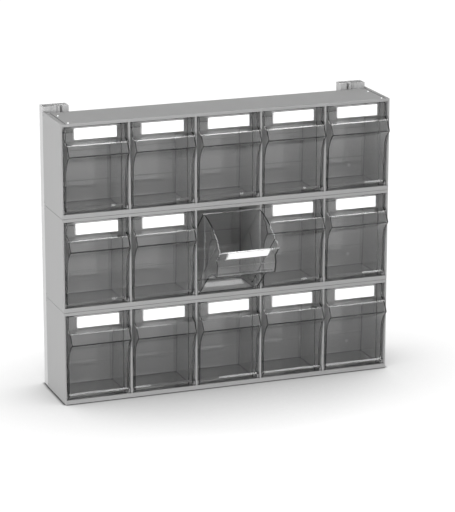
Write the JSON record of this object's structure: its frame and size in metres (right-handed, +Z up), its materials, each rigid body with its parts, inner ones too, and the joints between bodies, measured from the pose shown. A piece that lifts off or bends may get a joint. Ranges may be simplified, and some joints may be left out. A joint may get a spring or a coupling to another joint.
{
  "type": "tilt-bin parts cabinet",
  "caption": "Stacked grey cases of clear tilt-out bins with white label cards, joined by upright rails at the back; each bin tips forward about pins at its lower front.",
  "frame": {"origin": "on the base, under the middle of the footprint of the cases and rails", "axes": "+X across the front to the right as seen from the front, -Y to the front, +Z up"},
  "size_m": [0.6, 0.2322, 0.503],
  "materials": {
    "case_plastic": "fine satin",
    "bin_plastic": "clear",
    "label_card": "paper",
    "rail_metal": "drawn, satin",
    "peg_plastic": "moulded",
    "screw_steel": "zinc"
  },
  "bodies": {
    "cabinet": {"case_bottom": "case_plastic", "case_middle": "case_plastic", "case_top": "case_plastic", "rail_left": "rail_metal", "rail_right": "rail_metal", "stacking_pegs": "peg_plastic", "rail_screws": "screw_steel", "slot_nuts": "screw_steel"},
    "tilt_bottom_1": {"bin_bottom_1": "bin_plastic", "label_bottom_1": "label_card"},
    "tilt_bottom_2": {"bin_bottom_2": "bin_plastic", "label_bottom_2": "label_card"},
    "tilt_bottom_3": {"bin_bottom_3": "bin_plastic", "label_bottom_3": "label_card"},
    "tilt_bottom_4": {"bin_bottom_4": "bin_plastic", "label_bottom_4": "label_card"},
    "tilt_bottom_5": {"bin_bottom_5": "bin_plastic", "label_bottom_5": "label_card"},
    "tilt_middle_1": {"bin_middle_1": "bin_plastic", "label_middle_1": "label_card"},
    "tilt_middle_2": {"bin_middle_2": "bin_plastic", "label_middle_2": "label_card"},
    "tilt_middle_3": {"bin_middle_3": "bin_plastic", "label_middle_3": "label_card"},
    "tilt_middle_4": {"bin_middle_4": "bin_plastic", "label_middle_4": "label_card"},
    "tilt_middle_5": {"bin_middle_5": "bin_plastic", "label_middle_5": "label_card"},
    "tilt_top_1": {"bin_top_1": "bin_plastic", "label_top_1": "label_card"},
    "tilt_top_2": {"bin_top_2": "bin_plastic", "label_top_2": "label_card"},
    "tilt_top_3": {"bin_top_3": "bin_plastic", "label_top_3": "label_card"},
    "tilt_top_4": {"bin_top_4": "bin_plastic", "label_top_4": "label_card"},
    "tilt_top_5": {"bin_top_5": "bin_plastic", "label_top_5": "label_card"}
  },
  "joints": [
    {"name": "tip_bottom_1", "type": "hinge", "parent": "cabinet", "child": "tilt_bottom_1", "pos_m": [-0.23904, -0.057, 0.0105], "axis": [1, 0, 0], "range_deg": [0, 46]},
    {"name": "tip_bottom_2", "type": "hinge", "parent": "cabinet", "child": "tilt_bottom_2", "pos_m": [-0.11952, -0.057, 0.0105], "axis": [1, 0, 0], "range_deg": [0, 46]},
    {"name": "tip_bottom_3", "type": "hinge", "parent": "cabinet", "child": "tilt_bottom_3", "pos_m": [0, -0.057, 0.0105], "axis": [1, 0, 0], "range_deg": [0, 46]},
    {"name": "tip_bottom_4", "type": "hinge", "parent": "cabinet", "child": "tilt_bottom_4", "pos_m": [0.11952, -0.057, 0.0105], "axis": [1, 0, 0], "range_deg": [0, 46]},
    {"name": "tip_bottom_5", "type": "hinge", "parent": "cabinet", "child": "tilt_bottom_5", "pos_m": [0.23904, -0.057, 0.0105], "axis": [1, 0, 0], "range_deg": [0, 46]},
    {"name": "tip_middle_1", "type": "hinge", "parent": "cabinet", "child": "tilt_middle_1", "pos_m": [-0.23904, -0.057, 0.1757], "axis": [1, 0, 0], "range_deg": [0, 46]},
    {"name": "tip_middle_2", "type": "hinge", "parent": "cabinet", "child": "tilt_middle_2", "pos_m": [-0.11952, -0.057, 0.1757], "axis": [1, 0, 0], "range_deg": [0, 46]},
    {"name": "tip_middle_3", "type": "hinge", "parent": "cabinet", "child": "tilt_middle_3", "pos_m": [0, -0.057, 0.1757], "axis": [1, 0, 0], "range_deg": [-46, 0]},
    {"name": "tip_middle_4", "type": "hinge", "parent": "cabinet", "child": "tilt_middle_4", "pos_m": [0.11952, -0.057, 0.1757], "axis": [1, 0, 0], "range_deg": [0, 46]},
    {"name": "tip_middle_5", "type": "hinge", "parent": "cabinet", "child": "tilt_middle_5", "pos_m": [0.23904, -0.057, 0.1757], "axis": [1, 0, 0], "range_deg": [0, 46]},
    {"name": "tip_top_1", "type": "hinge", "parent": "cabinet", "child": "tilt_top_1", "pos_m": [-0.23904, -0.057, 0.3409], "axis": [1, 0, 0], "range_deg": [0, 46]},
    {"name": "tip_top_2", "type": "hinge", "parent": "cabinet", "child": "tilt_top_2", "pos_m": [-0.11952, -0.057, 0.3409], "axis": [1, 0, 0], "range_deg": [0, 46]},
    {"name": "tip_top_3", "type": "hinge", "parent": "cabinet", "child": "tilt_top_3", "pos_m": [0, -0.057, 0.3409], "axis": [1, 0, 0], "range_deg": [0, 46]},
    {"name": "tip_top_4", "type": "hinge", "parent": "cabinet", "child": "tilt_top_4", "pos_m": [0.11952, -0.057, 0.3409], "axis": [1, 0, 0], "range_deg": [0, 46]},
    {"name": "tip_top_5", "type": "hinge", "parent": "cabinet", "child": "tilt_top_5", "pos_m": [0.23904, -0.057, 0.3409], "axis": [1, 0, 0], "range_deg": [0, 46]}
  ]
}
